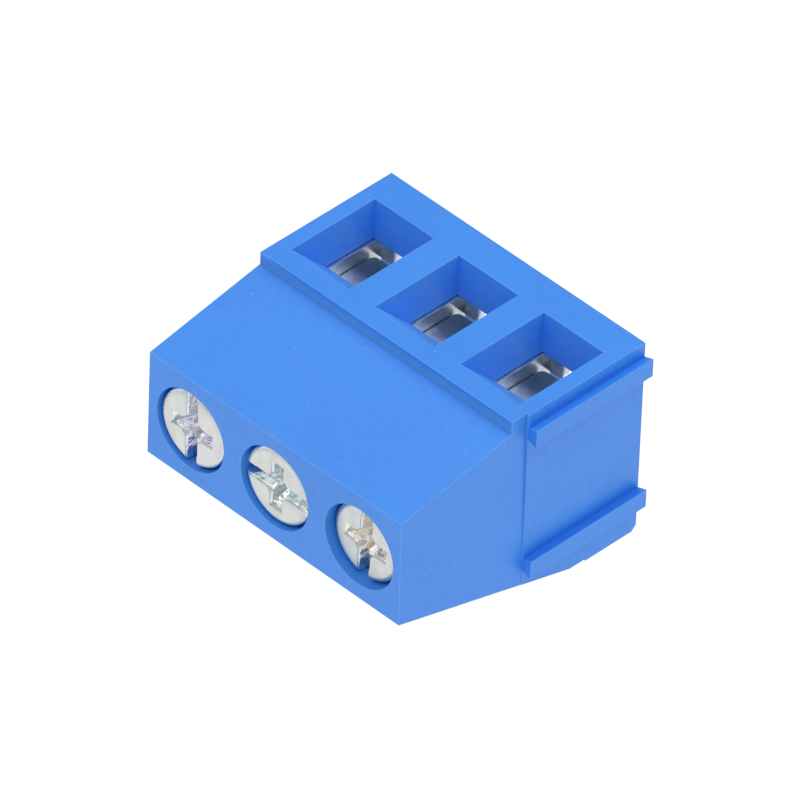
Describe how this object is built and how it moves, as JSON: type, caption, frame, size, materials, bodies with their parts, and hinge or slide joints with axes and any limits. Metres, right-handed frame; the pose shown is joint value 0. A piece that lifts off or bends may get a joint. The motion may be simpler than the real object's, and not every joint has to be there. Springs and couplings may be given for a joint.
{
  "type": "screw terminal block",
  "caption": "Printed-circuit-board screw terminal block with rising clamp cages, funnel wire entries, solder pins and dovetail joining ribs.",
  "frame": {"origin": "centre of the middle solder pin, on the plane of the board face", "axes": "+Z out of the wire entries, so the block lies on its back; +Y along the solder pins into the board, away from the screw heads; +X along the row of ways, towards the joining ribs"},
  "size_m": [0.0155, 0.0159, 0.0102],
  "materials": {
    "blue_plastic": "moulded satin",
    "plated_screw": "zinc plated, faintly iridescent",
    "cage_metal": "plated, dull",
    "tinned_terminal": "bright tin plate"
  },
  "bodies": {
    "block": {"housing": "blue_plastic", "terminal_left": "tinned_terminal", "terminal_middle": "tinned_terminal", "terminal_right": "tinned_terminal"},
    "screw_left": {"screw_left": "plated_screw"},
    "cage_left": {"cage_left": "cage_metal"},
    "screw_middle": {"screw_middle": "plated_screw"},
    "cage_middle": {"cage_middle": "cage_metal"},
    "screw_right": {"screw_right": "plated_screw"},
    "cage_right": {"cage_right": "cage_metal"}
  },
  "joints": [
    {"name": "screw_left_turn", "type": "hinge", "parent": "block", "child": "screw_left", "pos_m": [-0.005, -0.0136, 0.00104], "axis": [0, -1, 0], "range_deg": [0, 1401]},
    {"name": "cage_left_slide", "type": "slide", "parent": "block", "child": "cage_left", "axis": [0, 1, 0], "range_m": [0, 0.00175]},
    {"name": "screw_middle_turn", "type": "hinge", "parent": "block", "child": "screw_middle", "pos_m": [0, -0.0136, 0.00104], "axis": [0, -1, 0], "range_deg": [0, 1401]},
    {"name": "cage_middle_slide", "type": "slide", "parent": "block", "child": "cage_middle", "axis": [0, 1, 0], "range_m": [0, 0.00175]},
    {"name": "screw_right_turn", "type": "hinge", "parent": "block", "child": "screw_right", "pos_m": [0.005, -0.0136, 0.00104], "axis": [0, -1, 0], "range_deg": [0, 1401]},
    {"name": "cage_right_slide", "type": "slide", "parent": "block", "child": "cage_right", "axis": [0, 1, 0], "range_m": [0, 0.00175]}
  ],
  "couplings": [
    {"joint": "screw_left_turn", "follows": "cage_left_slide", "rad_per_m": 13963},
    {"joint": "screw_middle_turn", "follows": "cage_middle_slide", "rad_per_m": 13963},
    {"joint": "screw_right_turn", "follows": "cage_right_slide", "rad_per_m": 13963}
  ]
}
